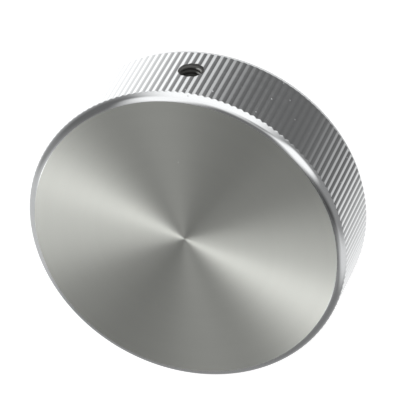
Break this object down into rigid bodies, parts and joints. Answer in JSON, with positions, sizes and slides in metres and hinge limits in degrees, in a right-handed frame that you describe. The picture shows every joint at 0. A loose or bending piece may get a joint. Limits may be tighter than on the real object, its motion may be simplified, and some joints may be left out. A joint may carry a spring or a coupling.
{
  "type": "control knob",
  "caption": "Solid turned aluminium control knob with a flat spun face, a finely serrated rim and a grub screw that holds it on a round shaft.",
  "frame": {"origin": "centre of the rear face, on the shaft axis", "axes": "+Z along the shaft axis towards the spun face, -Y towards the mouth of the grub screw's hole"},
  "size_m": [0.05, 0.05, 0.0142],
  "materials": {
    "turned_aluminium": "spun face with fine concentric turning marks, bright soft front edge, satin serrated rim",
    "black_steel": "black oxide, slightly oily"
  },
  "bodies": {
    "root": {"knob_body": "turned_aluminium", "set_screw": "black_steel"}
  },
  "joints": []
}
